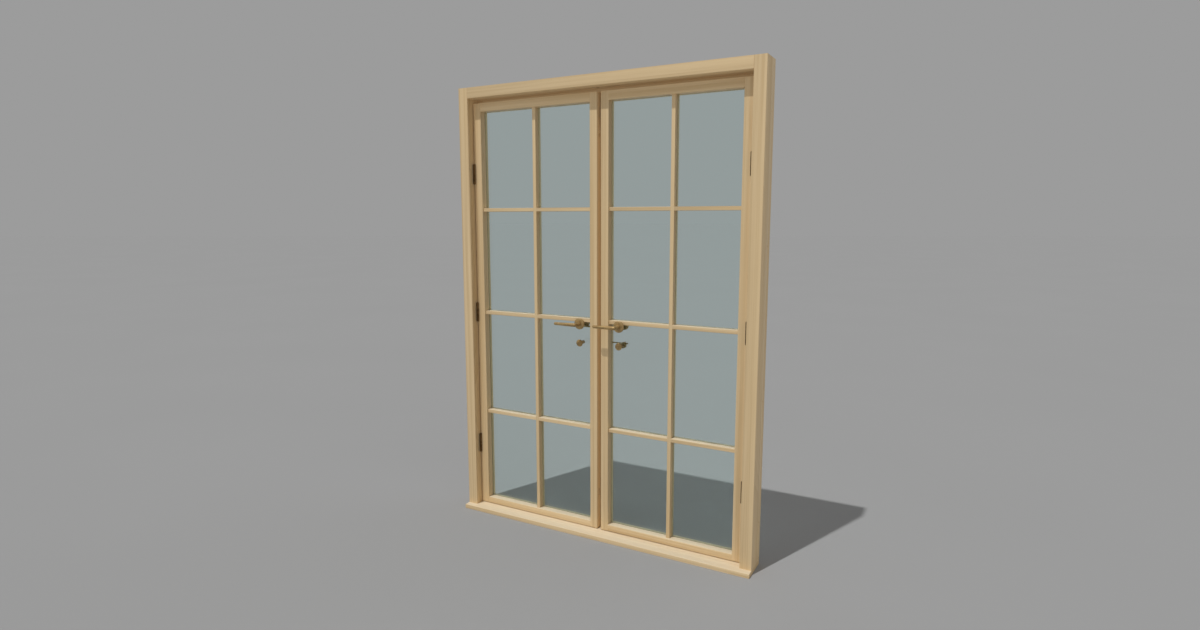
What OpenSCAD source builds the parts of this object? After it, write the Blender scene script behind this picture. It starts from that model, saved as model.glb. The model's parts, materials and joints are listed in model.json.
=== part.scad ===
// Glazed timber french doors in their frame: two outward-opening leaves, each with one clear pane
// and two by four glazing bars, lever sets and lock cylinders clamped through the panes.
// The origin is on the sill's underside, at mid width, in the plane of the frame's front face.
// +X is to the right seen from outside, +Y goes inwards, +Z is up. All sizes are in millimetres.

/* [Frame] */
// Width over the two jambs
frame_w = 1490; // [1290:10:1790]
// Height from the sill's underside to the head's top
frame_h = 2090; // [1990:10:2290]
// Depth of the jambs and the head
frame_d = 115; // [110:1:140]
// Width of the jamb's front face
jamb_face = 52; // [46:1:70]
// Height of the head's front face
head_face = 50; // [44:1:70]
// How far the stops reach behind the leaves
stop_lap = 12; // [9:1:16]
// Depth of the stops behind the gasket
stop_t = 17.5; // [14:0.5:24]
// Space for the gasket between a leaf's back and the stop
gasket_space = 2.5; // [2:0.1:4]
// Width of the gasket strip
gasket_w = 6; // [4:0.5:8]
// Depth of the housing that takes the head in each jamb
head_housing = 8; // [5:1:12]
// Thickness of the jamb that stays in front of the housing
jamb_skin = 12; // [8:1:20]

/* [Sill] */
// Thickness of the sill at its nose
sill_t = 20; // [18:1:35]
// How far the sill's nose stands in front of the jambs
sill_nose = 31; // [20:1:60]
// Rise of the sill's top from the nose to the stop
sill_fall = 2; // [1:0.5:5]
// Radius on the nose's upper edge
nose_r = 3; // [1:0.5:6]
// Width of the drip groove under the nose
drip_w = 5; // [4:0.5:8]
// Depth of the drip groove
drip_d = 4; // [2:0.5:6]
// Distance of the drip groove from the nose
drip_in = 9; // [6:1:14]

/* [Leaves] */
// Thickness of a leaf
leaf_t = 56; // [54:1:64]
// Gap between a leaf and its jamb
hinge_gap = 5; // [3:0.5:7]
// Gap above the leaves
top_gap = 19; // [8:1:24]
// Gap under the leaves at the stop
bottom_gap = 3; // [3:0.5:8]
// Gap between the two leaves, at their front
meeting_gap = 18.8; // [14:0.2:24]
// Gap that the right leaf's rear lip leaves
lip_gap = 4; // [3.6:0.1:5]
// Width of the hinge stile's face
stile_w = 41.5; // [38:0.5:80]
// Width of the meeting stile's face
meeting_w = 37.5; // [36:0.5:70]
// Height of the top rail's face
top_rail_h = 39.5; // [36:0.5:120]
// Height of the bottom rail's face
bottom_rail_h = 29; // [28:0.5:200]
// Chamfer on the outer arrises of the timber
arris = 1.5; // [0.5:0.1:2.5]
// Length of the rails' tenons
tenon_l = 22; // [16:1:24]
// Thickness of the rails' tenons
tenon_t = 12; // [8:1:14]
// Shoulders above and below a tenon
tenon_shoulder = 5; // [3:0.5:8]

/* [Glazing] */
// Set-back of the pane from the leaf's front
glass_set = 35; // [33:1:37]
// Thickness of the toughened pane
glass_t = 6; // [5:1:8]
// How far the timber laps the pane
glass_bite = 12; // [10:1:14]
// Free space round the pane in its rebate
glass_play = 2; // [1:0.5:3]
// Width of a glazing bar
bar_w = 17; // [16:0.5:24]
// Set-back of the outside bars from the leaf's front
bar_set = 8; // [6:1:12]
// Thickness of the inside bars
inside_bar_t = 13; // [13:0.5:14]
// Height of the middle cross bar's centre above the sill's underside
bar_mid_z = 1012.5; // [1011:0.5:1015]
// Distance between the cross bars' centres
bar_pitch = 504; // [420:1:540]
// Chamfer on a bar's front arrises
bar_arris = 1; // [0.5:0.1:2]

/* [Hinges] */
// Height of a hinge
hinge_h = 92; // [80:1:110]
// Distance of the top hinge's centre from the leaf's top
hinge_top = 333; // [150:1:400]
// Distance of the bottom hinge's centre from the leaf's bottom
hinge_bottom = 315; // [150:1:400]
// Radius of the knuckles
knuckle_r = 6; // [5.5:0.1:6.2]
// Radius of the hinge pins
pin_r = 3; // [2.5:0.1:3.5]
// Thickness of the hinge plates
plate_t = 3; // [2:0.1:3.5]
// How far the plates reach behind the leaf's front
plate_d = 34; // [28:1:40]

/* [Handles] */
// Distance of the lever's axis from the middle of the doors
handle_x = 101; // [95:0.5:125]
// Height of the lever's axis
handle_z = 996; // [995:0.5:997]
// Radius of the outside rose
rose_r = 26; // [24:0.5:30]
// Thickness of the outside rose
rose_t = 8; // [6:0.5:10]
// Radius of the rose's stem that stands on the pane
stem_r = 10.5; // [10:0.1:12]
// Radius of the lever's journal in the rose
journal_r = 7; // [6.6:0.1:7.4]
// Side of the square spindle
spindle_a = 8; // [7:0.5:8.5]
// Length of an outside lever from its axis to its tip
lever_len = 107.8; // [90:0.1:107.8]
// Length of an inside lever, kept clear of the other leaf's swing
inside_lever_len = 100; // [85:0.5:100]
// Distance of the outside lever's arm from the rose's face
lever_stand = 41; // [34:1:50]
// Distance of the inside lever's arm from the rose's face
inside_lever_stand = 36; // [32:1:42]
// Radius of the lever at its root
lever_root_r = 8.4; // [7.5:0.1:9.5]
// Radius of the lever near its tip
lever_tip_r = 6.8; // [4.5:0.1:7.2]
// Radius of the inside rose
inside_rose_r = 21; // [19:0.5:28]
// Thickness of the inside rose
inside_rose_t = 5; // [4:0.5:8]
// Radius of the gear case on the pane's back
case_r = 20; // [19:0.5:21]
// Depth of the gear case
case_t = 17; // [16:0.5:20]

/* [Bolts] */
// Module of the lever pinion and its rack
gear_m = 2; // [1.9:0.05:2.1]
// Teeth of the lever pinion
gear_n = 12; // [12:1:12]
// Height of the bolt's bar
bolt_h = 7; // [6:0.5:7]
// Thickness of the bolt's bar
bolt_t = 7; // [6:0.5:7.5]
// Gap between the meeting edge and a bolt's nose that is drawn back
nose_in = 0.8; // [0.5:0.1:1.5]
// Radius of the flush bolts
flush_r = 4; // [3.5:0.1:4.5]
// Length of a flush bolt
flush_l = 190; // [150:5:260]
// Distance of the flush bolts from the meeting edge
flush_in = 7.1; // [6.5:0.1:8]
// How far a thrown flush bolt enters the head or the sill
flush_grip = 11; // [8:0.5:12]

/* [Locks] */
// Distance of the lock's axis below the lever's axis
lock_drop = 90; // [85:1:100]
// Radius of the lock's outside ring
ring_r = 16.5; // [14:0.5:20]
// Thickness of the lock's outside ring
ring_t = 5; // [3:0.5:7]
// Radius of the lock's neck
neck_r = 8; // [7:0.5:9]
// Radius of the lock's plug
plug_r = 4.8; // [4.4:0.1:5]
// Radius of the lock case on the pane's back
lock_case_r = 14; // [13.5:0.5:17]
// Depth of the lock case
lock_case_t = 12; // [11.5:0.5:14]
// Module of the lock's pinion and rack
lock_m = 1; // [0.95:0.05:1.05]
// Teeth of the lock's pinion
lock_n = 12; // [12:1:12]
// Side of the square lock pin
lock_pin_a = 5; // [4:0.5:5]

/* [Fixings] */
// Height of the lowest and the distance of the highest fixing hole from the ends
fix_end = 200; // [150:5:240]
// Distance between the two middle fixing holes
fix_mid = 640; // [560:10:700]
// Radius of the fixing holes
fix_r = 4; // [3:0.5:5]
// Radius of the fixing holes' counterbores
fix_cap_r = 10; // [8:0.5:12]
// Depth of the counterbores
fix_cap_d = 12; // [8:1:16]
// Distance of the fixing holes behind the leaf's front
fix_in = 47; // [44:1:48]

/* [Hidden] */
$fn = 48;

// Clearances
run = 0.05;       // radial clearance of a turning fit
slide = 0.4;      // clearance round a sliding bar
rod_run = 0.1;    // radial clearance round a flush bolt
soft_gap = 0.3;   // clearance of a seal that the real doors press
over = 1;         // overlap of a cutting body past the face it opens

// Levels across the frame, for the right-hand half
x_out = frame_w / 2;
x_reveal = x_out - jamb_face;
x_edge = x_reveal - hinge_gap;
x_hinge_glass = x_edge - stile_w;
x_meet = meeting_gap / 2;
x_meet_glass = x_meet + meeting_w;
x_bar = (x_meet_glass + x_hinge_glass) / 2;

// Levels through the frame
y_stop = frame_d - stop_t;
y_back = y_stop - gasket_space;
y_leaf = y_back - leaf_t;
y_glass = y_leaf + glass_set;
y_inside = y_glass + glass_t;
y_bar = y_leaf + bar_set;

// Levels up the frame
z_sill = sill_t + sill_fall;
z_head = frame_h - head_face;
z_leaf0 = z_sill + bottom_gap;
z_leaf1 = z_head - top_gap;
z_glass0 = z_leaf0 + bottom_rail_h;
z_glass1 = z_leaf1 - top_rail_h;
x_stop = x_edge - stop_lap;
z_stop0 = z_leaf0 + stop_lap;
z_stop1 = z_leaf1 - stop_lap;

// Hinge axis: in front of the leaf's face, beside the reveal
hinge_play = 0.5;
x_axis = x_reveal - knuckle_r - hinge_play;
y_axis = y_leaf - knuckle_r - hinge_play;
hinge_z0 = z_leaf0 + hinge_bottom;
hinge_z1 = z_leaf1 - hinge_top;
hinge_zs = [hinge_z0, (hinge_z0 + hinge_z1) / 2, hinge_z1];
knuckle_cut = 0.4;

// The lip of the right leaf's meeting stile starts where the pane does
lip_x = -(x_meet - lip_gap);
function edge_x(s) = s > 0 ? lip_x : x_meet;
function nose_x(s) = edge_x(s) + nose_in;

// Gears: stub teeth with a straight-sided rack
tooth_add = 0.7;      // tooth height over the pitch line, in modules
tooth_ded = 0.9;      // tooth depth under the pitch line, in modules
press = 20;           // pressure angle
gear_play = 0.15;     // thinning of each flank
gear_r = gear_m * gear_n / 2;
lock_gear_r = lock_m * lock_n / 2;
bolt_throw = gear_r * PI / 2;
pin_throw = lock_gear_r * PI;
gear_t = 6.5;
y_gear = y_inside + 2.5;
cavity_r = gear_r + gear_m * tooth_add + 0.6;
y_pin = y_inside + 3;
lock_cavity_r = lock_gear_r + lock_m * tooth_add + 0.6;
lock_z = handle_z - lock_drop;

// Flush bolts in the left leaf's meeting stile
x_flush = -(x_meet + flush_in);
y_flush = y_leaf + 21;
flush_top_throw = top_gap + nose_in + flush_grip;
flush_bottom_throw = bottom_gap + sill_fall + nose_in + flush_grip;
thumb_h = 14;
thumb_w = 6;
keep_r = 8;
keep_t = flush_grip + 1;
z_sill_keep = sill_t + 1 - keep_t;

wood = [0.74, 0.64, 0.49];
brass = [0.53, 0.38, 0.21];
bronze = [0.33, 0.24, 0.14];
rubber = [0.27, 0.25, 0.22];
clear = [0.72, 0.83, 0.83, 0.4];

// The right-hand form of a piece, or its mirror image on the left
module on_side(s) {
    if (s < 0) mirror([1, 0, 0]) children();
    else children();
}

// A piece of the lever set or the lock of side s, turned half round on the left
module on_axis(s, z) {
    translate([0, 0, z])
        rotate([0, s < 0 ? 180 : 0, 0])
            children();
}

// A solid of revolution about a line along +Y
module along_y(x, z) {
    translate([x, 0, z]) rotate([-90, 0, 0]) children();
}

module box(a, b) {
    translate(a) cube(b - a);
}

// A section in X and Y, drawn up between two heights
module upright(z0, z1) {
    translate([0, 0, z0]) linear_extrude(height = z1 - z0) children();
}

// A section in Y and Z, drawn along X between two places
module lengthwise(x0, x1) {
    translate([x0, 0, 0]) rotate([90, 0, 90]) linear_extrude(height = x1 - x0) children();
}

// FRAME

module sill_section() {
    nose_pts = [for (a = [180:-15:90])
        [-sill_nose + nose_r + nose_r * cos(a), sill_t - nose_r + nose_r * sin(a)]];
    difference() {
        polygon(concat(
            [[-sill_nose, 0]], nose_pts,
            [[y_stop, z_sill], [y_stop, z_stop0], [frame_d, z_stop0], [frame_d, 0]]
        ));
        translate([-sill_nose + drip_in, -over]) square([drip_w, drip_d + over]);
    }
}

module sill_solid() {
    lengthwise(-x_out, x_out) sill_section();
}

module sill() {
    color(wood) difference() {
        sill_solid();
        translate([x_flush, y_flush, z_sill_keep]) cylinder(r = keep_r, h = sill_t);
        translate([x_flush, y_flush, z_sill_keep - 2]) cylinder(r = flush_r + 0.6, h = sill_t);
    }
}

module jamb() {
    color(wood) difference() {
        upright(0, frame_h) polygon([
            [x_out, arris], [x_out - arris, 0], [x_reveal + arris, 0], [x_reveal, arris], [x_reveal, y_stop],
            [x_stop, y_stop], [x_stop, frame_d], [x_out, frame_d]
        ]);
        sill_solid();
        head_solid();
        for (z = hinge_zs) frame_plate(z);
        for (z = fix_zs()) fixing_hole(z);
    }
}

function fix_zs() = [fix_end, frame_h / 2 - fix_mid / 2, frame_h / 2 + fix_mid / 2, frame_h - fix_end];

module fixing_hole(z) {
    translate([x_reveal - over, y_leaf + fix_in, z]) rotate([0, 90, 0]) {
        cylinder(r = fix_r, h = jamb_face + 2 * over);
        cylinder(r = fix_cap_r, h = fix_cap_d + over);
    }
}

// The head between its shoulders, with the tongues that the jambs house
module head_blank() {
    lengthwise(-x_reveal - head_housing, x_reveal + head_housing) polygon([
        [arris, z_head], [y_stop, z_head], [y_stop, z_stop1], [frame_d, z_stop1], [frame_d, frame_h],
        [0, frame_h], [0, z_head + arris]
    ]);
}

// The tongues stop short of the front, so the jambs' faces run to the top
module head_solid() {
    difference() {
        head_blank();
        for (s = [-1, 1]) on_side(s) {
            box([x_reveal, -over, z_stop1 - over], [x_out, jamb_skin, frame_h + over]);
            box([x_stop, y_stop - over, z_stop1 - over], [x_out, frame_d + over, z_head]);
        }
    }
}

module head() {
    color(wood) difference() {
        head_solid();
        translate([x_flush, y_flush, z_head - over]) {
            cylinder(r = keep_r, h = keep_t + over);
            cylinder(r = flush_r + 0.6, h = keep_t + over + 3);
        }
    }
}

module frame_gasket() {
    x1 = x_edge - (stop_lap - gasket_w) / 2;
    z0 = z_leaf0 + (stop_lap - gasket_w) / 2;
    z1 = z_leaf1 - (stop_lap - gasket_w) / 2;
    color(rubber) difference() {
        box([-x1, y_back + soft_gap, z0], [x1, y_stop, z1]);
        box([-x1 + gasket_w, y_back, z0 + gasket_w], [x1 - gasket_w, frame_d, z1 - gasket_w]);
    }
}

module keep_ring() {
    difference() {
        cylinder(r = keep_r, h = keep_t);
        translate([0, 0, -over]) cylinder(r = flush_r + 0.6, h = keep_t + 2 * over);
    }
}

module head_keep() {
    color(brass) translate([x_flush, y_flush, z_head]) keep_ring();
}

module sill_keep() {
    color(brass) translate([x_flush, y_flush, z_sill_keep]) keep_ring();
}

// HINGES

knuckle_h = (hinge_h - 2 * knuckle_cut) / 3;

module knuckle(z0) {
    difference() {
        translate([x_axis, y_axis, z0]) cylinder(r = knuckle_r, h = knuckle_h);
        translate([x_axis, y_axis, z0 - over]) cylinder(r = pin_r + run, h = knuckle_h + 2 * over);
    }
}

// The plate in the jamb's reveal
module frame_plate(z) {
    box([x_reveal, y_leaf + 2, z - hinge_h / 2], [x_reveal + plate_t, y_leaf + plate_d, z + hinge_h / 2]);
}

// The plate in the leaf's hinge edge
module leaf_plate(z) {
    box([x_edge - plate_t, y_leaf, z - hinge_h / 2], [x_edge, y_leaf + plate_d, z + hinge_h / 2]);
}

module frame_hinge(z) {
    step = knuckle_h + knuckle_cut;
    frame_plate(z);
    for (z0 = [z - hinge_h / 2, z - hinge_h / 2 + 2 * step]) {
        knuckle(z0);
        difference() {
            translate([0, 0, z0]) linear_extrude(height = knuckle_h) polygon([
                [x_edge + 0.5, y_axis + 1], [x_reveal, y_axis + 1], [x_reveal, y_leaf + 2],
                [x_reveal + plate_t, y_leaf + 2], [x_reveal + plate_t, y_leaf + 5],
                [x_reveal - 1, y_leaf + 5], [x_edge + 0.5, y_leaf + 1]
            ]);
            translate([x_axis, y_axis, z0 - over]) cylinder(r = pin_r + run, h = knuckle_h + 2 * over);
        }
    }
}

module leaf_hinge(z) {
    z0 = z - knuckle_h / 2;
    leaf_plate(z);
    knuckle(z0);
    difference() {
        box([x_edge - plate_t, y_axis, z0], [x_edge, y_leaf + over, z0 + knuckle_h]);
        translate([x_axis, y_axis, z0 - over]) cylinder(r = pin_r + run, h = knuckle_h + 2 * over);
    }
}

module hinge_pin(z) {
    tip_h = 2;
    translate([x_axis, y_axis, z - hinge_h / 2]) {
        cylinder(r = pin_r, h = hinge_h);
        for (z1 = [-tip_h, hinge_h]) translate([0, 0, z1]) cylinder(r = pin_r + 1.5, h = tip_h);
    }
}

module frame_hinges() {
    color(bronze) for (z = hinge_zs) frame_hinge(z);
}

module leaf_hinges() {
    color(bronze) for (z = hinge_zs) leaf_hinge(z);
}

module hinge_pins() {
    color(bronze) for (z = hinge_zs) hinge_pin(z);
}

// LEAVES

module hinge_stile() {
    color(wood) difference() {
        upright(z_leaf0, z_leaf1) polygon([
            [x_edge, y_leaf], [x_hinge_glass + arris, y_leaf], [x_hinge_glass, y_leaf + arris],
            [x_hinge_glass, y_glass], [x_hinge_glass + glass_bite, y_glass],
            [x_hinge_glass + glass_bite, y_back], [x_edge, y_back]
        ]);
        rail_tenons();
        for (z = hinge_zs) leaf_plate(z);
    }
}

module meeting_stile_blank(s) {
    upright(z_leaf0, z_leaf1) polygon([
        [x_meet, y_leaf + arris], [x_meet + arris, y_leaf], [x_meet_glass - arris, y_leaf],
        [x_meet_glass, y_leaf + arris], [x_meet_glass, y_glass], [x_meet_glass - glass_bite, y_glass],
        [x_meet_glass - glass_bite, y_back], [edge_x(s), y_back], [edge_x(s), y_glass], [x_meet, y_glass]
    ]);
}

module meeting_stile(s) {
    color(wood) difference() {
        on_side(s) difference() {
            meeting_stile_blank(s);
            rail_tenons();
        }
        for (side = [-1, 1]) bolt_path(side);
        pin_path();
        if (s < 0) flush_bolt_ways();
    }
}

// A tenon at each end of a rail, in front of the pane
module rail_tenon(z0, z1) {
    y0 = y_leaf + (glass_set - tenon_t) / 2;
    box([x_meet_glass - tenon_l, y0, z0 + tenon_shoulder],
        [x_hinge_glass + tenon_l, y0 + tenon_t, z1 - tenon_shoulder]);
}

module rail_tenons() {
    rail_tenon(z_leaf0, z_glass0);
    rail_tenon(z_glass1, z_leaf1);
}

module rail(section_z, lap_z, out_z) {
    difference() {
        lengthwise(x_meet_glass - arris, x_hinge_glass + arris) polygon([
            [y_leaf, out_z], [y_leaf, section_z + (section_z > out_z ? -arris : arris)],
            [y_leaf + arris, section_z], [y_glass, section_z], [y_glass, lap_z],
            [y_back, lap_z], [y_back, out_z]
        ]);
        meeting_stile_blank(-1);
        upright(z_leaf0 - over, z_leaf1 + over) polygon([
            [x_edge, y_leaf], [x_hinge_glass + arris, y_leaf], [x_hinge_glass, y_leaf + arris],
            [x_hinge_glass, y_glass], [x_edge, y_back]
        ]);
    }
}

module rail_with_tenons(section_z, lap_z, out_z) {
    color(wood) union() {
        rail(section_z, lap_z, out_z);
        // Ends behind the pane's line, between the stiles' narrower backs
        difference() {
            lengthwise(x_meet_glass - glass_bite, x_hinge_glass + glass_bite) polygon([
                [y_glass, out_z], [y_glass, lap_z], [y_back, lap_z], [y_back, out_z]
            ]);
            box([x_meet_glass, y_glass - over, z_leaf0 - over],
                [x_hinge_glass, y_back + over, z_leaf1 + over]);
        }
        rail_tenon(min(section_z, out_z), max(section_z, out_z));
    }
}

module bottom_rail() {
    rail_with_tenons(z_glass0, z_glass0 - glass_bite, z_leaf0);
}

module top_rail() {
    rail_with_tenons(z_glass1, z_glass1 + glass_bite, z_leaf1);
}

// GLAZING

// A bar's section about its own centre line: its width along X, its depth along Y
module bar_section(y0, y1, chamfer_y) {
    h = bar_w / 2;
    c = bar_arris;
    polygon(chamfer_y == y0
        ? [[-h, y1], [-h, y0 + c], [-h + c, y0], [h - c, y0], [h, y0 + c], [h, y1]]
        : [[-h, y0], [-h, y1 - c], [-h + c, y1], [h - c, y1], [h, y1 - c], [h, y0]]);
}

module upright_bar(y0, y1, chamfer_y) {
    translate([x_bar, 0, 0]) upright(z_glass0, z_glass1) bar_section(y0, y1, chamfer_y);
}

module level_bar(y0, y1, chamfer_y, z) {
    translate([x_meet_glass, 0, z]) rotate([0, 90, 0])
        linear_extrude(height = x_hinge_glass - x_meet_glass) bar_section(y0, y1, chamfer_y);
}

bar_zs = [for (i = [-1:1]) bar_mid_z + i * bar_pitch];
y_half = (y_bar + y_glass) / 2;
y_bar_back = y_inside + inside_bar_t;
y_inside_half = (y_inside + y_bar_back) / 2;

// Halved crossings: the upright keeps its front outside, and its back inside
module vertical_bar() {
    color(wood) difference() {
        upright_bar(y_bar, y_glass, y_bar);
        for (z = bar_zs) {
            box([x_bar - bar_w, y_half, z - bar_w / 2], [x_bar + bar_w, y_glass + over, z + bar_w / 2]);
        }
    }
}

module cross_bar(z) {
    color(wood) difference() {
        level_bar(y_bar, y_glass, y_bar, z);
        difference() {
            upright_bar(y_bar, y_glass, y_bar);
            box([0, y_half, z_glass0], [x_edge, y_glass + over, z_glass1]);
        }
    }
}

module cross_bars() {
    cross_bar(bar_zs[0]);
    cross_bar(bar_zs[2]);
}

// The middle bar is notched round the stem of the outside rose
module middle_bar() {
    difference() {
        cross_bar(bar_mid_z);
        along_y(handle_x, handle_z) translate([0, 0, y_bar - over]) cylinder(r = stem_r + 0.2, h = glass_set);
    }
}

module inside_bars(s) {
    color(wood) {
        on_side(s) inside_upright();
        for (z = bar_zs) difference() {
            on_side(s) inside_level(z);
            case_blank(s);
            bolt_path(s);
        }
    }
}

module inside_upright() {
    difference() {
        upright_bar(y_inside, y_bar_back, y_bar_back);
        for (z = bar_zs) {
            box([x_bar - bar_w, y_inside - over, z - bar_w / 2],
                [x_bar + bar_w, y_inside_half, z + bar_w / 2]);
        }
    }
}

module inside_level(z) {
    difference() {
        level_bar(y_inside, y_bar_back, y_bar_back, z);
        difference() {
            upright_bar(y_inside, y_bar_back, y_bar_back);
            box([0, y_inside - over, z_glass0], [x_edge, y_inside_half, z_glass1]);
        }
    }
}

// The right pane has a second hole, for the lock
module pane(s) {
    lap = glass_bite - glass_play;
    color(clear) on_side(s) difference() {
        box([x_meet_glass - lap, y_glass, z_glass0 - lap], [x_hinge_glass + lap, y_inside, z_glass1 + lap]);
        along_y(handle_x, handle_z) translate([0, 0, y_glass - over])
            cylinder(r = journal_r, h = glass_t + 2 * over);
        if (s > 0) along_y(handle_x, lock_z) translate([0, 0, y_glass - over])
            cylinder(r = plug_r + 2, h = glass_t + 2 * over);
    }
}

module beads(s) {
    b = glass_bite;
    c = 2;
    color(wood) difference() {
        on_side(s) {
            upright(z_glass0 - b, z_glass1 + b) polygon([
                [x_meet_glass - b, y_inside], [x_meet_glass, y_inside], [x_meet_glass, y_back - c],
                [x_meet_glass - c, y_back], [x_meet_glass - b, y_back]
            ]);
            upright(z_glass0 - b, z_glass1 + b) polygon([
                [x_hinge_glass + b, y_inside], [x_hinge_glass, y_inside], [x_hinge_glass, y_back - c],
                [x_hinge_glass + c, y_back], [x_hinge_glass + b, y_back]
            ]);
            lengthwise(x_meet_glass, x_hinge_glass) polygon([
                [y_inside, z_glass0 - b], [y_inside, z_glass0], [y_back - c, z_glass0],
                [y_back, z_glass0 - c], [y_back, z_glass0 - b]
            ]);
            lengthwise(x_meet_glass, x_hinge_glass) polygon([
                [y_inside, z_glass1 + b], [y_inside, z_glass1], [y_back - c, z_glass1],
                [y_back, z_glass1 + c], [y_back, z_glass1 + b]
            ]);
        }
        bolt_path(s);
        if (s > 0) pin_path();
    }
}

// A fin on the right leaf's rear lip that closes most of the gap between the leaves
module meeting_seal() {
    reach = x_meet - lip_gap + lip_seal();
    color(rubber) box([-reach, y_glass + 1, z_leaf0], [lip_x, y_glass + 3.5, z_leaf1]);
}

// How far the fin may stand off the lip and still clear the left leaf's swing
function lip_seal() =
    let (arm = x_axis - x_meet,
         corner = sqrt(pow(arm, 2) + pow(y_back - y_axis, 2)),
         bulge = sqrt(pow(corner, 2) - pow(y_glass + 1 - y_axis, 2)) - arm)
    lip_gap - bulge - soft_gap;

// LEVER SETS, drawn about the lever's axis for the right-hand leaf

// A pinion's tooth flank: half the angle of a tooth at radius r
function inv(a) = tan(a) * 180 / PI - a;
function half_angle(m, n, r) =
    let (rp = m * n / 2, rb = rp * cos(press))
    (PI * m / 4 - gear_play) / rp * 180 / PI + inv(press) - (r > rb ? inv(acos(rb / r)) : 0);

module pinion_section(m, n) {
    rp = m * n / 2;
    radii = [rp - tooth_ded * m, rp * cos(press), rp, rp + tooth_add * m];
    polygon([
        for (i = [0:n - 1], k = [0:2 * len(radii) - 1])
            let (up = k < len(radii),
                 r = up ? radii[k] : radii[2 * len(radii) - 1 - k],
                 a = 90 + i * 360 / n + (up ? -1 : 1) * half_angle(m, n, r))
            r * [cos(a), sin(a)]
    ]);
}

// A rack whose teeth point down to the pitch line at height 0, with a space at x = 0
module rack_section(m, teeth, x0, body_h) {
    p = PI * m;
    half = p / 4 - gear_play;
    tip = half - tooth_add * m * tan(press);
    root = half + tooth_ded * m * tan(press);
    top = tooth_ded * m;
    union() {
        translate([x0, top]) square([teeth * p, body_h]);
        for (i = [0:teeth - 1]) let (x = x0 + (i + 0.5) * p) polygon([
            [x - root, top], [x - tip, -tooth_add * m], [x + tip, -tooth_add * m], [x + root, top]
        ]);
    }
}

// A section in X and Z at the axis, drawn along Y between two depths
module across(y0, y1) {
    translate([0, y1, 0]) rotate([90, 0, 0]) linear_extrude(height = y1 - y0) children();
}

rack_teeth = 5;
rack_x0 = -gear_m * PI;
bolt_tail = 3;

module bolt(s) {
    color(brass) on_axis(s, handle_z) translate([handle_x, 0, gear_r]) across(y_gear, y_gear + bolt_t) {
        rack_section(gear_m, rack_teeth, rack_x0, bolt_h);
        translate([nose_x(s) - handle_x, tooth_ded * gear_m])
            square([handle_x - nose_x(s) + rack_x0 + rack_teeth * PI * gear_m + bolt_tail, bolt_h]);
    }
}

// The room that a bolt needs in the timber and its case, from its thrown nose to its tail
module bolt_path(s) {
    top = gear_r + tooth_ded * gear_m;
    tail_x = handle_x + rack_x0 + rack_teeth * PI * gear_m + bolt_tail + slide;
    on_axis(s, handle_z) {
        box([nose_x(s) - bolt_throw - over, y_gear - slide, top - slide],
            [tail_x, y_gear + bolt_t + slide, top + bolt_h + slide]);
        box([handle_x - bolt_throw - gear_m * PI - slide, y_gear - slide,
             gear_r - tooth_add * gear_m - slide],
            [tail_x, y_gear + bolt_t + slide, top + slide]);
    }
}

module pinion(s) {
    color(brass) on_axis(s, handle_z) translate([handle_x, 0, 0])
    across(y_gear, y_gear + gear_t) difference() {
        pinion_section(gear_m, gear_n);
        square(spindle_a, center = true);
    }
}

module case_blank(s) {
    on_side(s) along_y(handle_x, handle_z) translate([0, 0, y_inside]) cylinder(r = case_r, h = case_t);
}

module gear_case(s) {
    color(brass) difference() {
        case_blank(s);
        bolt_path(s);
        on_side(s) along_y(handle_x, handle_z) {
            translate([0, 0, y_gear - slide]) cylinder(r = cavity_r, h = gear_t + 2 * slide);
            translate([0, 0, y_inside - over]) cylinder(r = journal_r - 0.5, h = 6);
            translate([0, 0, y_gear]) cylinder(r = journal_r + run, h = case_t);
        }
    }
}

module outside_rose() {
    y0 = y_leaf - rose_t;
    color(brass) along_y(handle_x, handle_z) rotate_extrude() polygon([
        [journal_r + run, y0], [rose_r - 5, y0], [rose_r - 1.6, y0 + 1.2], [rose_r, y0 + 4], [rose_r, y_leaf],
        [stem_r + 1.5, y_leaf], [stem_r, y_leaf + 2], [stem_r, y_glass], [journal_r + run, y_glass]
    ]);
}

module inside_rose() {
    y0 = y_inside + case_t;
    y1 = y0 + inside_rose_t;
    color(brass) along_y(handle_x, handle_z) rotate_extrude() polygon([
        [journal_r + run, y0], [inside_rose_r, y0], [inside_rose_r, y1 - 2.5], [inside_rose_r - 2.5, y1],
        [journal_r + run, y1]
    ]);
}

// A lever: its neck runs along Y from the rose, its arm along -X, with a ball at the elbow
module lever(len, y_arm, y_rose, y_in) {
    steps = 8;
    tip_steps = 6;
    span = len - lever_tip_r;
    arm = [for (i = [0:steps]) let (t = i / steps)
        [lever_tip_r + (lever_root_r - lever_tip_r) * (1 - t * t * (3 - 2 * t)), t * span]];
    tip = [for (i = [1:tip_steps]) let (a = 90 * i / tip_steps)
        [lever_tip_r * cos(a) * (i < tip_steps ? 1 : 0), span + lever_tip_r * sin(a)]];
    side = y_rose > y_arm ? 1 : -1;
    y_collar = y_rose - side * 1.5;
    color(brass) difference() {
        union() {
            translate([0, y_arm, 0]) {
                rotate([0, -90, 0]) rotate_extrude() polygon(concat([[0, 0]], arm, tip));
                sphere(r = lever_root_r);
            }
            box_along_y(lever_root_r, y_arm, y_collar);
            box_along_y(lever_root_r + 2, y_collar - side * 6, y_collar);
            box_along_y(journal_r, y_collar, y_in);
        }
        box([-spindle_a / 2, min(y_collar - side * 14, y_in + side), -spindle_a / 2],
            [spindle_a / 2, max(y_collar - side * 14, y_in + side), spindle_a / 2]);
    }
}

// A cylinder along Y between two depths, in either order
module box_along_y(r, ya, yb) {
    along_y(0, 0) translate([0, 0, min(ya, yb)]) cylinder(r = r, h = abs(yb - ya));
}

y_outside_arm = y_leaf - rose_t - lever_stand;
y_inside_face = y_inside + case_t + inside_rose_t;
y_inside_arm = y_inside_face + inside_lever_stand;

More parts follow.
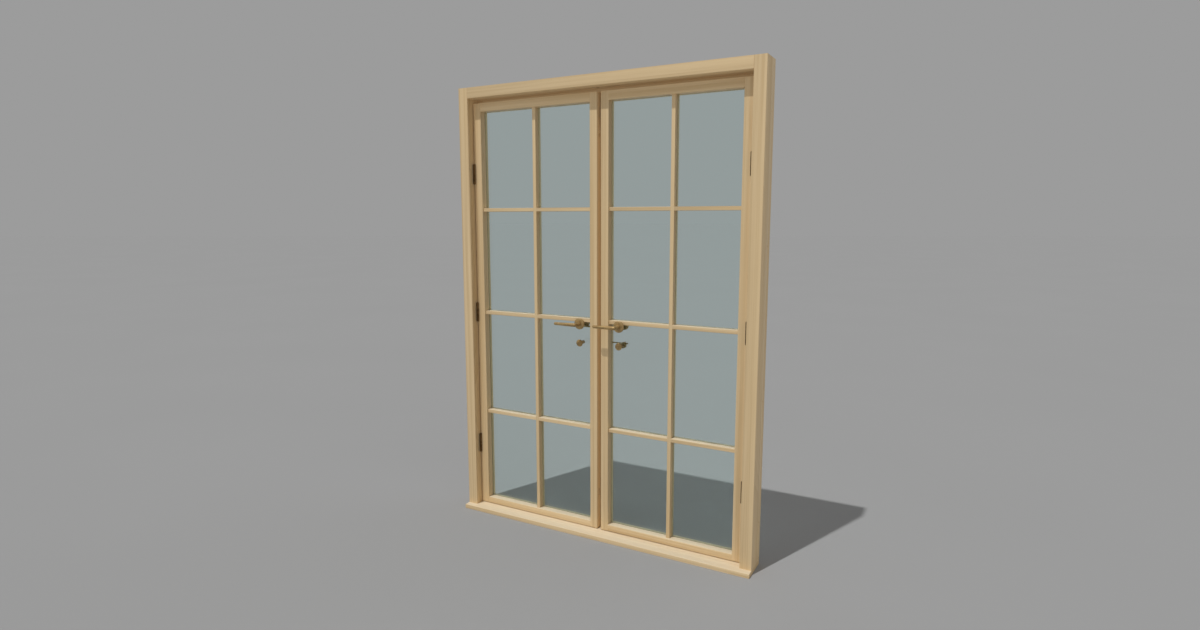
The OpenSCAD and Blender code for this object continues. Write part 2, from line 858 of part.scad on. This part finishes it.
module outside_lever(s) {
    translate([s * handle_x, 0, handle_z]) lever(lever_len, y_outside_arm, y_leaf - rose_t, y_glass - 12);
}

module inside_lever(s) {
    translate([s * handle_x, 0, handle_z])
        lever(inside_lever_len, y_inside_arm, y_inside_face, y_gear + gear_t + slide);
}

module spindle(s) {
    y0 = y_leaf - rose_t - 1.5 - 14;
    y1 = y_inside_face + 1.5 + 14;
    color(bronze) translate([s * handle_x, 0, handle_z])
        box([-spindle_a / 2, y0, -spindle_a / 2], [spindle_a / 2, y1, spindle_a / 2]);
}

// LOCK of the right leaf, and the blank that matches it on the left

module lock_ring() {
    y0 = y_leaf - ring_t;
    color(brass) along_y(handle_x, lock_z) rotate_extrude() polygon([
        [plug_r + run, y0], [ring_r - 2, y0], [ring_r, y0 + 2], [ring_r, y_leaf], [neck_r + 1, y_leaf],
        [neck_r, y_leaf + 1.5], [neck_r, y_glass], [plug_r + run, y_glass]
    ]);
}

// The left ring is bonded to its pane and closed by a plain plug
module lock_plug() {
    color(brass) along_y(-handle_x, lock_z) translate([0, 0, y_leaf - ring_t - 0.8])
        cylinder(r = plug_r, h = glass_set + ring_t + 0.8);
}

module lock_case() {
    color(brass) difference() {
        along_y(handle_x, lock_z) translate([0, 0, y_inside]) cylinder(r = lock_case_r, h = lock_case_t);
        pin_path();
        along_y(handle_x, lock_z) {
            translate([0, 0, y_pin - slide]) cylinder(r = lock_cavity_r, h = lock_pin_a + 2 * slide);
            translate([0, 0, y_inside - over]) cylinder(r = plug_r + run, h = lock_case_t + 2 * over);
        }
    }
}

pin_teeth = 8;
pin_x0 = -lock_m * PI;
pin_tail = 1;

module lock_pin() {
    color(brass) translate([handle_x, 0, lock_z + lock_gear_r]) across(y_pin, y_pin + lock_pin_a) {
        rack_section(lock_m, pin_teeth, pin_x0, lock_pin_a);
        translate([nose_x(1) - handle_x, tooth_ded * lock_m])
            square([handle_x - nose_x(1) + pin_x0 + pin_teeth * PI * lock_m + pin_tail, lock_pin_a]);
    }
}

module pin_path() {
    top = lock_gear_r + tooth_ded * lock_m;
    tail_x = handle_x + pin_x0 + pin_teeth * PI * lock_m + pin_tail + slide;
    translate([0, 0, lock_z]) {
        box([nose_x(1) - pin_throw - over, y_pin - slide, top - slide],
            [tail_x, y_pin + lock_pin_a + slide, top + lock_pin_a + slide]);
        box([handle_x - pin_throw - lock_m * PI - slide, y_pin - slide,
             lock_gear_r - tooth_add * lock_m - slide],
            [tail_x, y_pin + lock_pin_a + slide, top + slide]);
    }
}

// The plug with its key slot outside, its pinion in the case and its thumb turn inside
module lock_cylinder() {
    y0 = y_leaf - ring_t - 0.8;
    y_turn = y_inside + lock_case_t + 0.6;
    turn_w = 5;
    turn_h = 13;
    color(brass) translate([handle_x, 0, lock_z]) difference() {
        union() {
            box_along_y(plug_r, y0, y_turn + 1);
            across(y_pin, y_pin + lock_pin_a) pinion_section(lock_m, lock_n);
            box_along_y(plug_r + 4, y_turn, y_turn + 3);
            across(y_turn + 2, y_turn + 15) {
                square([turn_w, 2 * (turn_h - turn_w / 2)], center = true);
                for (z = [-1, 1]) translate([0, z * (turn_h - turn_w / 2)]) circle(d = turn_w);
            }
        }
        box([-0.7, y0 - over, -3.2], [0.7, y0 + 6, 3.2]);
    }
}

// FLUSH BOLTS in the left leaf's meeting stile

module flush_bolt_ways() {
    cut = flush_r + rod_run;
    translate([x_flush, y_flush, z_leaf1 - flush_l - nose_in - slide])
        cylinder(r = cut, h = flush_l + nose_in + slide + over);
    translate([x_flush, y_flush, z_leaf0 - over]) cylinder(r = cut, h = flush_l + nose_in + slide + over);
    thumb_slot(z_leaf1 - nose_in - flush_l, flush_top_throw);
    thumb_slot(z_leaf0 + nose_in + flush_l - thumb_h - flush_bottom_throw, flush_bottom_throw);
}

module thumb_slot(z, travel) {
    box([x_flush, y_flush - thumb_w / 2 - slide, z - slide],
        [-x_meet + over, y_flush + thumb_w / 2 + slide, z + thumb_h + travel + slide]);
}

module thumb(z) {
    box([x_flush, y_flush - thumb_w / 2, z], [-x_meet - nose_in, y_flush + thumb_w / 2, z + thumb_h]);
}

module top_flush_bolt() {
    z0 = z_leaf1 - nose_in - flush_l;
    color(brass) union() {
        translate([x_flush, y_flush, z0]) cylinder(r = flush_r, h = flush_l);
        thumb(z0);
    }
}

module bottom_flush_bolt() {
    z0 = z_leaf0 + nose_in;
    color(brass) union() {
        translate([x_flush, y_flush, z0]) cylinder(r = flush_r, h = flush_l);
        thumb(z0 + flush_l - thumb_h);
    }
}

on_side(-1) jamb();  // left_jamb
jamb();  // right_jamb
head();
sill();
frame_gasket();
on_side(-1) frame_hinges();  // left_frame_hinges
frame_hinges();  // right_frame_hinges
on_side(-1) hinge_pins();  // left_hinge_pins
hinge_pins();  // right_hinge_pins
head_keep();
sill_keep();

on_side(-1) hinge_stile();  // left_hinge_stile
meeting_stile(-1);  // left_meeting_stile
on_side(-1) top_rail();  // left_top_rail
on_side(-1) bottom_rail();  // left_bottom_rail
on_side(-1) vertical_bar();  // left_vertical_bar
on_side(-1) cross_bars();  // left_cross_bars
on_side(-1) middle_bar();  // left_middle_bar
inside_bars(-1);  // left_inside_bars
pane(-1);  // left_pane
beads(-1);  // left_beads
on_side(-1) leaf_hinges();  // left_leaf_hinges
on_side(-1) outside_rose();  // left_outside_rose
gear_case(-1);  // left_gear_case
on_side(-1) inside_rose();  // left_inside_rose
outside_lever(-1);  // left_outside_lever
inside_lever(-1);  // left_inside_lever
spindle(-1);  // left_spindle
pinion(-1);  // left_pinion
bolt(-1);  // left_bolt
on_side(-1) lock_ring();  // left_lock_ring
lock_plug();  // left_lock_plug
top_flush_bolt();  // left_top_flush_bolt
bottom_flush_bolt();  // left_bottom_flush_bolt

hinge_stile();  // right_hinge_stile
meeting_stile(1);  // right_meeting_stile
top_rail();  // right_top_rail
bottom_rail();  // right_bottom_rail
vertical_bar();  // right_vertical_bar
cross_bars();  // right_cross_bars
middle_bar();  // right_middle_bar
inside_bars(1);  // right_inside_bars
pane(1);  // right_pane
beads(1);  // right_beads
leaf_hinges();  // right_leaf_hinges
meeting_seal();  // right_meeting_seal
outside_rose();  // right_outside_rose
gear_case(1);  // right_gear_case
inside_rose();  // right_inside_rose
outside_lever(1);  // right_outside_lever
inside_lever(1);  // right_inside_lever
spindle(1);  // right_spindle
pinion(1);  // right_pinion
bolt(1);  // right_bolt
lock_ring();  // right_lock_ring
lock_case();  // right_lock_case
lock_cylinder();  // right_lock_cylinder
lock_pin();  // right_lock_pin
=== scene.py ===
import json
import math

import bmesh
import bpy
from mathutils import Matrix, Vector


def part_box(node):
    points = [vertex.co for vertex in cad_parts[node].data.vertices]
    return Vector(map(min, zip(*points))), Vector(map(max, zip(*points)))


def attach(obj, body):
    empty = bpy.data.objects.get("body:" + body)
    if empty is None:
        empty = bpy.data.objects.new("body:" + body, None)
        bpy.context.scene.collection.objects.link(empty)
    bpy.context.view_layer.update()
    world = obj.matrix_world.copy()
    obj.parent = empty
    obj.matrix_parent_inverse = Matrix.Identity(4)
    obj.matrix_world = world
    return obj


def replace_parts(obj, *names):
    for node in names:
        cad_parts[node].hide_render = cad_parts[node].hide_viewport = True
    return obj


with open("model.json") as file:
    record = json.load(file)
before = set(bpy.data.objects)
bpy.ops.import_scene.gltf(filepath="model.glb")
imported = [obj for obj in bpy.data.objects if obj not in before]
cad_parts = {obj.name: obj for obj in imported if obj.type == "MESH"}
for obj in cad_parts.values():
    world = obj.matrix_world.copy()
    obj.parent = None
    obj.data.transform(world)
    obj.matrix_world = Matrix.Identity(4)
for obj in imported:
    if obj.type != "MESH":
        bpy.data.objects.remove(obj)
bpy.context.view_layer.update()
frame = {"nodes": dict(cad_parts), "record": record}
nodes = frame["nodes"]
record = frame["record"]
slotOf = {part["node"]: part["material_slot"] for part in record["subparts"]}
bodyOf = {node: body for body, held in record["behaviour"]["bodies"].items() for node in held}
scene = bpy.context.scene

# camera, solved from the straight edges of the door frame; lens and sensor in millimetres
camera = {
    "location": (1.4918, -2.6787, 1.4718),
    "pitch": 82.126,
    "yaw": 28.672,
    "lens": 20.764,
    "sensor": 36.0,
    "reach": 60.0,
}


def makeCamera():
    data = bpy.data.cameras.new("camera")
    data.lens = camera["lens"]
    data.sensor_width = camera["sensor"]
    data.clip_end = camera["reach"]
    obj = bpy.data.objects.new("camera", data)
    obj.location = camera["location"]
    obj.rotation_euler = (math.radians(camera["pitch"]), 0.0, math.radians(camera["yaw"]))
    scene.collection.objects.link(obj)
    scene.camera = obj


makeCamera()
print("camera in place")


# an output of a node, which adds, subtracts and multiplies as a number does
class Sock:
    def __init__(self, shader, socket):
        self.shader = shader
        self.socket = socket

    def maths(self, operation, other):
        return self.shader.maths(operation, self, other)

    def __add__(self, other):
        return self.maths("ADD", other)

    def __sub__(self, other):
        return self.maths("SUBTRACT", other)

    def __mul__(self, other):
        return self.maths("MULTIPLY", other)

    def __rsub__(self, other):
        return self.shader.maths("SUBTRACT", other, self)

    __radd__ = __add__
    __rmul__ = __mul__


class Shader:
    def __init__(self, name):
        self.material = bpy.data.materials.new(name)
        self.material.use_nodes = True
        self.tree = self.material.node_tree
        self.surface = self.tree.nodes["Principled BSDF"]

    # the one way to add a node: its settings by keyword, its inputs by name or number
    def add(self, kind, out=0, inputs=None, **settings):
        node = self.tree.nodes.new(kind)
        for key, value in settings.items():
            setattr(node, key, value)
        for key, value in (inputs or {}).items():
            self.feed(node.inputs[key], value)
        return Sock(self, node.outputs[out])

    def feed(self, socket, value):
        if isinstance(value, Sock):
            self.tree.links.new(value.socket, socket)
        else:
            socket.default_value = value

    def maths(self, operation, first, second=None):
        inputs = {0: first}
        if second is not None:
            inputs[1] = second
        return self.add("ShaderNodeMath", inputs=inputs, operation=operation)

    # a spot moved, turned or stretched
    def mapped(self, spot, **ways):
        return self.add("ShaderNodeMapping", inputs={"Vector": spot, **ways})

    # the piece's own coordinates, turned where the grain lies level
    def place(self, turn=(0.0, 0.0, 0.0)):
        return self.mapped(self.add("ShaderNodeTexCoord", out="Object"), Rotation=turn)

    def axis(self, spot, letter):
        return self.add("ShaderNodeSeparateXYZ", out=letter, inputs={0: spot})

    def noise(self, spot, scale, detail, roughness, distortion=0.0):
        inputs = {
            "Vector": spot,
            "Scale": scale,
            "Detail": detail,
            "Roughness": roughness,
            "Distortion": distortion,
        }
        return self.add("ShaderNodeTexNoise", inputs=inputs)

    def span(self, value, low, high, toLow=0.0, toHigh=1.0):
        inputs = {
            "Value": value,
            "From Min": low,
            "From Max": high,
            "To Min": toLow,
            "To Max": toHigh,
        }
        return self.add("ShaderNodeMapRange", inputs=inputs)

    # a mix of colours has its amount at input 0, its colours at 6 and 7, its result at output 2
    def blend(self, amount, first, second):
        inputs = {0: amount, 6: first, 7: second}
        return self.add("ShaderNodeMix", out=2, inputs=inputs, data_type="RGBA")

    def bump(self, height, distance, strength):
        inputs = {"Height": height, "Distance": distance, "Strength": strength}
        return self.add("ShaderNodeBump", inputs=inputs)

    def finish(self, **values):
        names = {
            "colour": "Base Color",
            "roughness": "Roughness",
            "metallic": "Metallic",
            "coat": "Coat Weight",
            "coatRoughness": "Coat Roughness",
            "specular": "Specular IOR Level",
            "ior": "IOR",
            "transmission": "Transmission Weight",
            "normal": "Normal",
        }
        for key, value in values.items():
            self.feed(self.surface.inputs[names[key]], value)
        return self.material


# a screen colour, from 0 to 255 a part, as the light it stands for
def linear(*parts):
    values = []
    for part in parts:
        part = part / 255.0
        values.append(part / 12.92 if part <= 0.04045 else ((part + 0.055) / 1.055) ** 2.4)
    return (*values, 1.0)


# pale pine, oiled thin and matt; lengths in metres
pine = {
    "early": linear(234, 208, 165),
    "late": linear(197, 167, 121),
    # painted highlight: the pale cream given to faces that look up, standing in for light from
    # above
    "bleached": linear(232, 219, 194),
    "warm": linear(222, 192, 143),
    "endGrain": linear(178, 147, 104),
    "roughness": (0.50, 0.66),
    "specular": 0.35,
    "oil": 0.3,
    "oilRoughness": 0.38,
    "grooveDepth": 0.00012,
    "grooveStrength": 0.55,
    # each piece has its own seed, which picks the part of the tree that it is cut from:
    # the seed's step, the reach and the start, along x, y and z
    "seedStep": 1.37,
    "cut": ((0.37, 0.9, -0.45), (0.61, 0.7, 0.0), (0.83, 5.0, 0.0)),
    # the rings, and where the tree's heart lies, on one side of the board or the other
    "ringGap": 0.0042,
    "ringWobble": 1.4,
    "lateEdge": 2.6,
    "sideStep": 7,
    "heartAway": (0.085, 0.060),
    "heartStray": ((0.29, 0.04), (0.47, 0.03)),
    "heartDrift": 0.16,
    "heartWobble": 0.012,
    # stretch, detail and roughness of each noise, across and along the grain
    "drift": ((1.2, 1.2, 0.55), 2.0, 0.5),
    "wobble": ((9.0, 9.0, 1.6), 3.0, 0.55),
    "fibre": ((620.0, 620.0, 7.0), 3.0, 0.6),
    "streak": ((58.0, 58.0, 0.5), 3.0, 0.6),
    "patch": ((5.0, 5.0, 0.9), 2.0, 0.5),
    # where each noise or direction starts and ends, and what it gives there
    "streakSpan": (0.40, 0.64),
    "fibreSpan": (0.35, 0.68),
    "patchSpan": (0.35, 0.68, 0.0, 0.45),
    "toneSpan": (0.2, 0.9),
    "sawnSpan": (0.85, 0.98),
    "upwardSpan": (0.6, 0.95, 0.0, 0.6),
    # what each part adds
    "toneOf": {"late": 0.24, "streak": 0.56, "fibre": 0.20},
    "endOf": {"late": 0.6, "fibre": 0.3},
    "grooveOf": {"late": 0.4, "fibre": 0.6},
    "sawnAmount": 0.75,
    # half a glazing bar, and the width of a bead
    "barHalf": 0.0087,
    "beadWidth": 0.012,
}


# a share from 0 to 1 that differs from piece to piece and is the same each run
def shareOf(seed, step):
    return (seed * step) % 1.0


# one where a piece with both upright and level members is level, else nothing
def levelShare(shader, node):
    height = shader.axis(shader.place(), "Z")
    hasBeads = node.endswith("beads")
    low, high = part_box(node if hasBeads else node.replace("inside", "cross"))
    fromMiddle = height - (low[2] + high[2]) / 2.0
    reach = (high[2] - low[2]) / 2.0
    if hasBeads:
        away = shader.maths("ABSOLUTE", fromMiddle)
        return shader.maths("GREATER_THAN", away, reach - pine["beadWidth"])
    # one bar lies in the middle, and one at each end of the reach
    fromBar = shader.maths("PINGPONG", fromMiddle, (reach - pine["barHalf"]) / 2.0)
    return shader.maths("LESS_THAN", fromBar, pine["barHalf"])


def pineMaterial(node, grain, seed):
    shader = Shader("pine_" + node)
    level = (0.0, math.radians(-90.0), 0.0)
    board = shader.place(level if grain == "x" else (0.0, 0.0, 0.0))
    if grain == "both":
        board = shader.blend(levelShare(shader, node), board, shader.place(level))
    cut = tuple(shareOf(seed, step) * reach + start for step, reach, start in pine["cut"])
    along = shader.mapped(board, Location=cut)

    def layer(name):
        stretch, detail, roughness = pine[name]
        return shader.noise(shader.mapped(along, Scale=stretch), 1.0, detail, roughness)

    wobble, fibre = layer("wobble"), layer("fibre")
    side = 1.0 if int(seed * pine["sideStep"]) % 2 else -1.0
    strayX, strayY = (shareOf(seed, step) * reach for step, reach in pine["heartStray"])
    heartX = pine["heartAway"][0] * side + strayX
    heartY = pine["heartAway"][1] + strayY
    fromHeartX = shader.axis(board, "X") + layer("drift") * pine["heartDrift"] + heartX
    fromHeartY = shader.axis(board, "Y") + wobble * pine["heartWobble"] + heartY
    radius = shader.maths("SQRT", fromHeartX * fromHeartX + fromHeartY * fromHeartY)
    turns = radius * (1.0 / pine["ringGap"]) + wobble * pine["ringWobble"]
    rings = shader.maths("FRACT", turns)
    late = shader.span(shader.maths("POWER", rings, pine["lateEdge"]), 0.0, 1.0)

    streaks = shader.span(layer("streak"), *pine["streakSpan"])
    fibres = shader.span(fibre, *pine["fibreSpan"])
    shares = pine["toneOf"]
    tone = late * shares["late"] + streaks * shares["streak"] + fibres * shares["fibre"]
    colour = shader.blend(tone, pine["early"], pine["late"])
    colour = shader.blend(shader.span(layer("patch"), *pine["patchSpan"]), colour, pine["warm"])

    # sawn ends are darker and show the rings
    facing = shader.add("ShaderNodeTexCoord", out="Normal")
    if grain != "both":
        lengthways = shader.maths("ABSOLUTE", shader.axis(facing, grain.upper()))
        sawn = shader.span(lengthways, *pine["sawnSpan"])
        shares = pine["endOf"]
        darker = late * shares["late"] + fibre * shares["fibre"]
        endTone = shader.blend(darker, pine["warm"], pine["endGrain"])
        colour = shader.blend(sawn * pine["sawnAmount"], colour, endTone)

    # painted highlight: faces that look up are painted paler and creamier, as if lit from above
    upward = shader.span(shader.axis(facing, "Z"), *pine["upwardSpan"])
    colour = shader.blend(upward, colour, pine["bleached"])
    shares = pine["grooveOf"]
    grooves = fibre * shares["fibre"] + late * shares["late"]
    return shader.finish(
        colour=colour,
        roughness=shader.span(tone, *pine["toneSpan"], *pine["roughness"]),
        specular=pine["specular"],
        coat=pine["oil"],
        coatRoughness=pine["oilRoughness"],
        normal=shader.bump(grooves, pine["grooveDepth"], pine["grooveStrength"]),
    )


# for each noise its scale, detail, roughness and distortion, and the span of it that shows
agedBrass = {
    "base": linear(196, 166, 114),
    "clouded": linear(160, 131, 86),
    "specked": linear(92, 72, 44),
    "cloud": (45.0, 5.0, 0.6, 0.3),
    "speck": (380.0, 4.0, 0.6),
    "cloudSpan": (0.38, 0.66),
    "speckSpan": (0.55, 0.75, 0.0, 0.6),
    "roughOf": {"cloud": 0.6, "speck": 0.4},
    "roughSpan": (0.35, 0.65),
    "roughness": (0.34, 0.52),
    "metallic": 0.55,
    "speckDepth": 0.00004,
    "speckStrength": 0.35,
}

darkBronze = {
    "base": linear(132, 103, 66),
    "clouded": linear(88, 68, 43),
    "specked": linear(170, 134, 86),
    "cloud": (60.0, 4.0, 0.6),
    "speck": (520.0, 3.0, 0.6),
    "cloudSpan": (0.36, 0.64),
    "speckSpan": (0.58, 0.74, 0.0, 0.5),
    "roughOf": {"cloud": 1.0, "speck": 0.0},
    "roughSpan": (0.3, 0.7),
    "roughness": (0.34, 0.55),
    "metallic": 1.0,
    "speckDepth": 0.00004,
    "speckStrength": 0.3,
}


def metalMaterial(name, metal):
    shader = Shader(name)
    spot = shader.place()
    cloud = shader.noise(spot, *metal["cloud"])
    speck = shader.noise(spot, *metal["speck"])
    colour = shader.blend(shader.span(cloud, *metal["cloudSpan"]), metal["base"], metal["clouded"])
    colour = shader.blend(shader.span(speck, *metal["speckSpan"]), colour, metal["specked"])
    uneven = cloud * metal["roughOf"]["cloud"] + speck * metal["roughOf"]["speck"]
    return shader.finish(
        colour=colour,
        roughness=shader.span(uneven, *metal["roughSpan"], *metal["roughness"]),
        metallic=metal["metallic"],
        normal=shader.bump(speck, metal["speckDepth"], metal["speckStrength"]),
    )


sealRubber = {
    "base": linear(58, 52, 45),
    "dusty": linear(84, 76, 66),
    "dust": (30.0, 5.0, 0.6),
    "grit": (900.0, 2.0, 0.5),
    "dustSpan": (0.4, 0.7),
    "gritSpan": (0.3, 0.7),
    "roughness": (0.6, 0.8),
    "gritDepth": 0.00003,
    "gritStrength": 0.3,
}


def sealRubberMaterial(name):
    shader = Shader(name)
    spot = shader.place()
    dusty = shader.span(shader.noise(spot, *sealRubber["dust"]), *sealRubber["dustSpan"])
    grit = shader.noise(spot, *sealRubber["grit"])
    return shader.finish(
        colour=shader.blend(dusty, sealRubber["base"], sealRubber["dusty"]),
        roughness=shader.span(grit, *sealRubber["gritSpan"], *sealRubber["roughness"]),
        normal=shader.bump(grit, sealRubber["gritDepth"], sealRubber["gritStrength"]),
    )


# each pane is drawn at a share of its thickness, so that no face of the glass lies in the
# plane of wood or bead
paneGlass = {
    "tint": linear(240, 255, 254),
    "haze": (3.0, 3.0, 0.5),
    "hazeSpan": (0.3, 0.7),
    "roughness": (0.0, 0.012),
    "ior": 1.45,
    "thickness": 0.88,
}


def paneGlassMaterial(name):
    shader = Shader(name)
    haze = shader.noise(shader.place(), *paneGlass["haze"])
    return shader.finish(
        colour=paneGlass["tint"],
        roughness=shader.span(haze, *paneGlass["hazeSpan"], *paneGlass["roughness"]),
        transmission=1.0,
        ior=paneGlass["ior"],
    )


finishes = {
    "brass": metalMaterial("agedBrass", agedBrass),
    "bronze": metalMaterial("darkBronze", darkBronze),
    "rubber": sealRubberMaterial("sealRubber"),
    "glass": paneGlassMaterial("paneGlass"),
}

# wood with its grain along x, and wood with members both ways; all other wood stands upright
levelPieces = ("head", "sill", "rail", "cross_bars", "middle_bar")
mixedPieces = ("inside_bars", "beads")


def grainOf(name):
    if name.endswith(mixedPieces):
        return "both"
    return "x" if any(word in name for word in levelPieces) else "z"


def coat(obj, material):
    obj.data.materials.clear()
    obj.data.materials.append(material)


for index, name in enumerate(sorted(nodes)):
    if slotOf[name] == "wood":
        seed = 1.0 + index * pine["seedStep"]
        coat(nodes[name], pineMaterial(name, grainOf(name), seed))
    else:
        coat(nodes[name], finishes[slotOf[name]])
print("finishes on", len(nodes), "pieces")

# widths in metres, what a sanding block, a lathe or a polishing wheel leaves; angles in degrees
easing = {
    "width": {"wood": 0.0011, "brass": 0.0007, "bronze": 0.0005},
    "segments": 2,
    "sharpFrom": 32.0,
    "flatWithin": 1.0,
    "weldWithin": 0.00002,
}


# a welded copy of a node, with its flat faces made whole again
def weldedCopy(name):
    grid = bmesh.new()
    grid.from_mesh(nodes[name].data)
    bmesh.ops.remove_doubles(grid, verts=grid.verts, dist=easing["weldWithin"])
    flat = math.radians(easing["flatWithin"])
    bmesh.ops.dissolve_limit(grid, angle_limit=flat, verts=grid.verts, edges=grid.edges)
    return grid


def finishedPiece(grid, name, body, material):
    mesh = bpy.data.meshes.new(name)
    grid.to_mesh(mesh)
    grid.free()
    mesh.materials.append(material)
    piece = bpy.data.objects.new(name, mesh)
    scene.collection.objects.link(piece)
    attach(piece, body)
    return piece


# a piece to stand in for a node, on the node's body and in its finish
def standIn(grid, prefix, name):
    material = nodes[name].data.materials[0]
    return finishedPiece(grid, prefix + name, bodyOf[name], material)


def easeEdges(piece, width):
    for face in piece.data.polygons:
        face.use_smooth = True
    bevel = piece.modifiers.new("ease", "BEVEL")
    bevel.width = width
    bevel.segments = easing["segments"]
    bevel.limit_method = "ANGLE"
    bevel.angle_limit = math.radians(easing["sharpFrom"])
    bevel.harden_normals = True


# the pinions' teeth stay as they are
easedPieces = [n for n in sorted(nodes) if slotOf[n] in easing["width"] and "pinion" not in n]
for name in easedPieces:
    piece = standIn(weldedCopy(name), "eased_", name)
    easeEdges(piece, easing["width"][slotOf[name]])
    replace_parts(piece, name)
print("edges eased on", len(easedPieces), "pieces")

for name in ("left_pane", "right_pane"):
    grid = weldedCopy(name)
    depths = [vert.co.y for vert in grid.verts]
    toMiddle = Matrix.Translation((0.0, -(min(depths) + max(depths)) / 2.0, 0.0))
    thinner = (1.0, paneGlass["thickness"], 1.0)
    bmesh.ops.scale(grid, vec=thinner, space=toMiddle, verts=grid.verts)
    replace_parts(standIn(grid, "clear_", name), name)
print("panes in place")

# six-lobed screws in the hinge plates, four to a plate
hingeScrew = {
    "sides": 12,
    "radius": 0.0034,
    "topShare": 0.86,
    "socket": 0.0017,
    "waist": 0.75,
    "depth": 0.0012,
    "proud": 0.0004,
    "length": 0.0020,
    "heights": (0.340, 1.014, 1.688),
    "spots": ((0.0550, -0.015), (0.0550, 0.015), (0.0655, -0.035), (0.0655, 0.035)),
    "spin": {"y": 700.0, "height": 9.0, "rise": 60.0},
    "frameFace": 0.693,
    "leafFace": 0.688,
}


def addScrew(grid, place):
    top = hingeScrew["radius"] * hingeScrew["topShare"]
    made = bmesh.ops.create_circle(grid, cap_ends=True, segments=hingeScrew["sides"], radius=top)
    face = made["verts"][0].link_faces[0]
    if face.normal.z < 0.0:
        bmesh.ops.reverse_faces(grid, faces=[face])
    # the side of the head widens downwards and is closed below, inside the plate
    skirt = bmesh.ops.extrude_edge_only(grid, edges=list(face.edges))["geom"]
    lower = [part for part in skirt if isinstance(part, bmesh.types.BMVert)]
    sides = [part for part in skirt if isinstance(part, bmesh.types.BMEdge)]
    wider = hingeScrew["radius"] / top
    bmesh.ops.scale(grid, vec=(wider, wider, 1.0), verts=lower)
    bmesh.ops.translate(grid, vec=(0.0, 0.0, -hingeScrew["length"]), verts=lower)
    below = [edge for edge in sides if all(vert in lower for vert in edge.verts)]
    bmesh.ops.edgeloop_fill(grid, edges=below)
    # every second corner of the socket is drawn in, which leaves six lobes
    bmesh.ops.inset_region(grid, faces=[face], thickness=top - hingeScrew["socket"], depth=0.0)
    for vert in list(face.verts)[1::2]:
        vert.co.x *= hingeScrew["waist"]
        vert.co.y *= hingeScrew["waist"]
    socket = bmesh.ops.extrude_discrete_faces(grid, faces=[face])["faces"][0]
    bmesh.ops.translate(grid, vec=(0.0, 0.0, -hingeScrew["depth"]), verts=socket.verts)
    whole = set(made["verts"]) | set(lower) | set(socket.verts)
    for vert in list(whole):
        for linked in vert.link_faces:
            whole.update(linked.verts)
    bmesh.ops.transform(grid, matrix=place, verts=list(whole))


# outward is 1 where the screws' heads look along x, and -1 where they look against it
def makeScrews(name, body, faceX, outward):
    grid = bmesh.new()
    turn = Matrix.Rotation(math.radians(90.0 * outward), 4, "Y")
    spinOf = hingeScrew["spin"]
    for height in hingeScrew["heights"]:
        for y, rise in hingeScrew["spots"]:
            angle = y * spinOf["y"] + height * spinOf["height"] + rise * spinOf["rise"]
            spin = Matrix.Rotation(angle, 4, "Z")
            shift = Matrix.Translation((faceX + outward * hingeScrew["proud"], y, height + rise))
            addScrew(grid, shift @ turn @ spin)
    bmesh.ops.recalc_face_normals(grid, faces=grid.faces)
    finishedPiece(grid, name, body, finishes["bronze"])


for side, sign in (("left", -1.0), ("right", 1.0)):
    makeScrews(side + "_frame_screws", "frame", sign * hingeScrew["frameFace"], -sign)
    makeScrews(side + "_leaf_screws", side + "_leaf", sign * hingeScrew["leafFace"], sign)
print("hinge screws in place")

# an even grey sky over a pale floor; a lamp is broad from this many degrees on
studio = {
    "skyTone": 0.332,
    "floorTone": 0.365,
    "floorShade": 0.985,
    "floorSize": 400.0,
    "floorCloud": (0.6, 2.0, 0.5),
    "floorSpan": (0.3, 0.7),
    "broadFrom": 10.0,
}

# a high sun from the front left, as the photograph's shadow has it, and three broad lamps;
# the fill would cast a second shadow, and the bounce, which stands for what a pale floor
# throws up, comes from under the floor, so these two cast none
lamps = {
    "sun": {"way": (0.32, 0.84, -2.09), "spread": 0.8, "power": 1.86, "shadow": True},
    "fill": {"way": (-0.9, 0.45, -0.22), "spread": 50.0, "power": 0.20, "shadow": False},
    "back": {"way": (-0.75, -0.55, -0.25), "spread": 50.0, "power": 0.22, "shadow": True},
    "bounce": {"way": (0.1, 0.72, 0.58), "spread": 30.0, "power": 0.48, "shadow": False},
}


def makeFloor():
    grid = bmesh.new()
    bmesh.ops.create_grid(grid, x_segments=2, y_segments=2, size=studio["floorSize"] / 2.0)
    mesh = bpy.data.meshes.new("floor")
    grid.to_mesh(mesh)
    grid.free()
    floor = bpy.data.objects.new("floor", mesh)
    scene.collection.objects.link(floor)
    shader = Shader("floorPaint")
    cloud = shader.span(shader.noise(shader.place(), *studio["floorCloud"]), *studio["floorSpan"])
    tone = studio["floorTone"]
    shaded = tone * studio["floorShade"]
    colour = shader.blend(cloud, (tone, tone, tone, 1.0), (shaded, shaded, shaded, 1.0))
    coat(floor, shader.finish(colour=colour, roughness=1.0, specular=0.0))


def makeLamp(name, lamp):
    data = bpy.data.lights.new(name, "SUN")
    data.angle = math.radians(lamp["spread"])
    data.energy = lamp["power"]
    data.use_shadow = lamp["shadow"]
    obj = bpy.data.objects.new(name, data)
    obj.rotation_euler = Vector(lamp["way"]).to_track_quat("-Z", "Y").to_euler()
    # a broad lamp would stand in the glass as a white patch
    narrow = lamp["spread"] < studio["broadFrom"]
    obj.visible_glossy = narrow
    obj.visible_transmission = narrow
    scene.collection.objects.link(obj)


def makeSky():
    world = bpy.data.worlds.new("sky")
    scene.world = world
    world.use_nodes = True
    paint = world.node_tree.nodes["Background"]
    tone = studio["skyTone"]
    paint.inputs["Color"].default_value = (tone, tone, tone, 1.0)
    paint.inputs["Strength"].default_value = 1.0


scene.view_settings.view_transform = "Standard"
makeFloor()
makeSky()
for name, lamp in lamps.items():
    makeLamp(name, lamp)
print("floor and lights in place")
